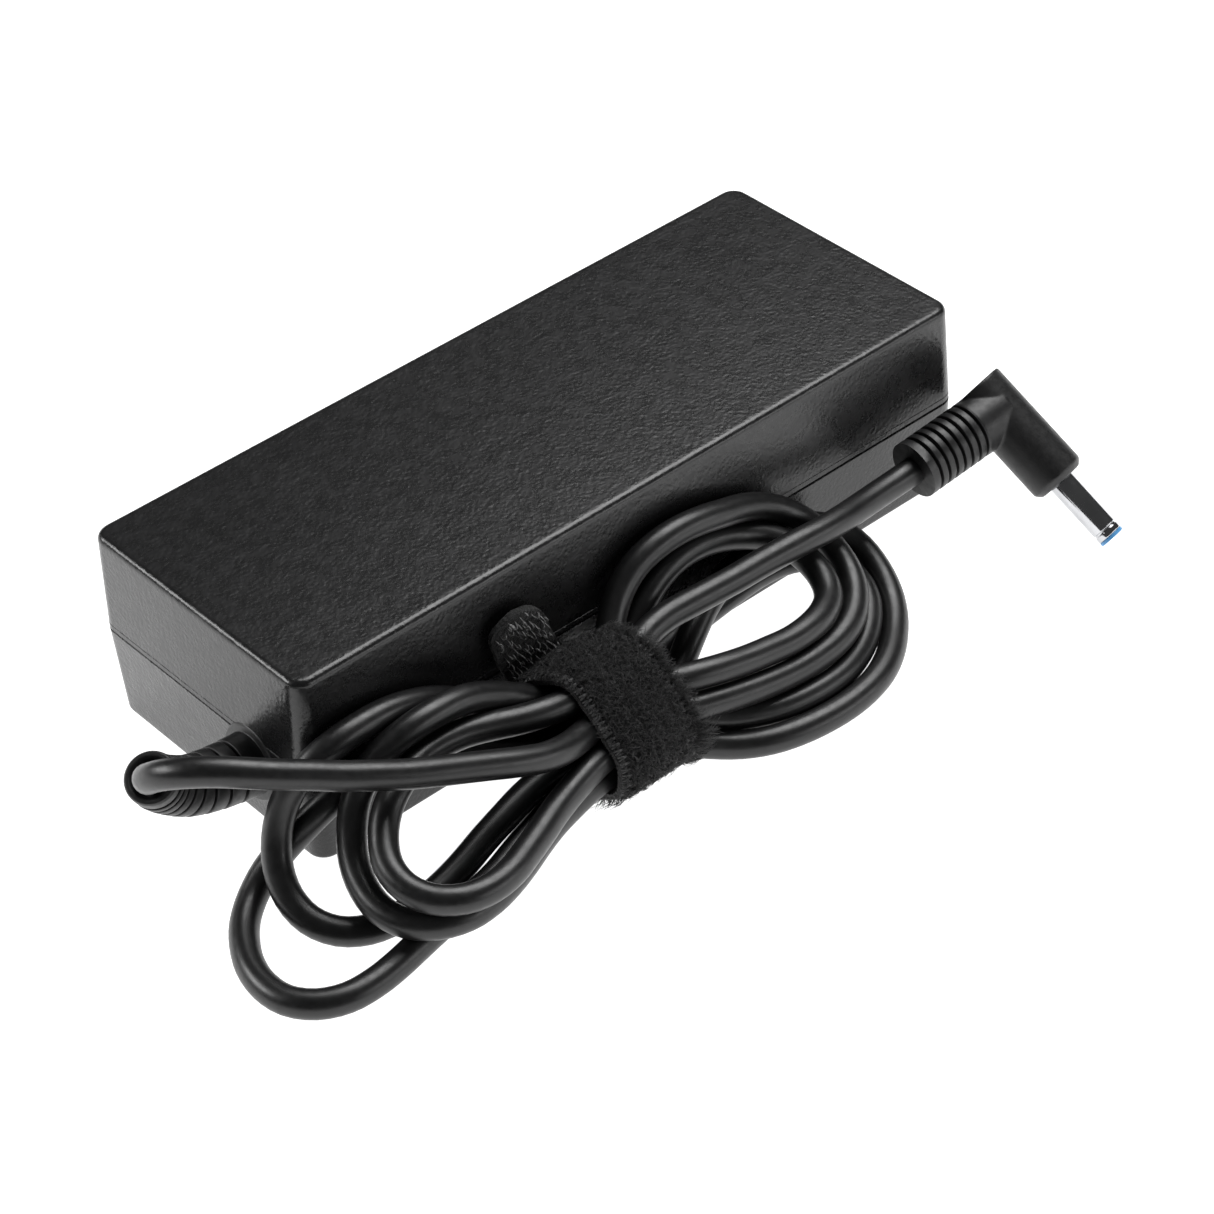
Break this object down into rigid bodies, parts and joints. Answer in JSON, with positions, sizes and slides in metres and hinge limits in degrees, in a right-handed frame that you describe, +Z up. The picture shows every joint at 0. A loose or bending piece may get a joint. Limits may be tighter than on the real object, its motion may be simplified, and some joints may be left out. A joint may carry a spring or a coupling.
{
  "type": "laptop power adapter",
  "caption": "Box-shaped laptop power adapter with a three-pin mains inlet and a strapped low-voltage lead ending in a right-angle barrel plug.",
  "frame": {"origin": "centre of the housing's bottom face, without the output lead", "axes": "+X along the housing from the lead end to the mains inlet, +Y away from the wound lead, +Z up"},
  "size_m": [0.166, 0.0856, 0.035],
  "materials": {
    "shell": "fine leather grain, matt",
    "label": "blank matt film",
    "inlet": "satin",
    "pin": "nickel plated, smooth",
    "pcb": "solder mask, satin",
    "copper": "enamelled copper wire",
    "ferrite": "matt",
    "chip": "matt",
    "can": "sleeved can, satin",
    "yellow": "satin",
    "disc": "satin",
    "white": "satin",
    "aluminium": "mill finish",
    "film": "fish paper",
    "wire": "smooth insulation",
    "lead": "smooth, low sheen",
    "boot": "satin moulded",
    "strap": "hook and loop, fuzzy",
    "barrel": "polished",
    "tip": "satin",
    "gold": "plated"
  },
  "bodies": {
    "root": {"upper_shell": "shell", "lower_shell": "shell", "blank_label": "label", "ac_inlet_body": "inlet", "line_pin": "pin", "neutral_pin": "pin", "earth_pin": "pin", "inlet_leads": "gold", "insulating_sheet": "film", "circuit_board": "pcb", "fuse": "chip", "inrush_thermistor": "disc", "x_capacitor": "yellow", "line_choke_core": "ferrite", "line_choke_windings": "copper", "bridge_rectifier": "chip", "bulk_capacitor": "can", "primary_heatsink": "aluminium", "switching_transistor": "chip", "transformer_core": "ferrite", "transformer_bobbin": "chip", "transformer_windings": "copper", "control_chip": "chip", "optocoupler": "white", "y_capacitor": "disc", "secondary_heatsink": "aluminium", "output_rectifier": "chip", "output_capacitors": "can", "output_choke_core": "ferrite", "output_choke_winding": "copper", "heat_spreader": "aluminium", "output_wires": "wire", "strain_relief": "boot", "cord_housing_end": "lead", "cord_hank": "lead", "cord_plug_end": "lead", "cord_strap": "strap", "plug_boot": "boot", "plug_body": "boot", "plug_barrel": "barrel", "plug_insulator": "tip", "plug_centre_pin": "gold"}
  },
  "joints": []
}
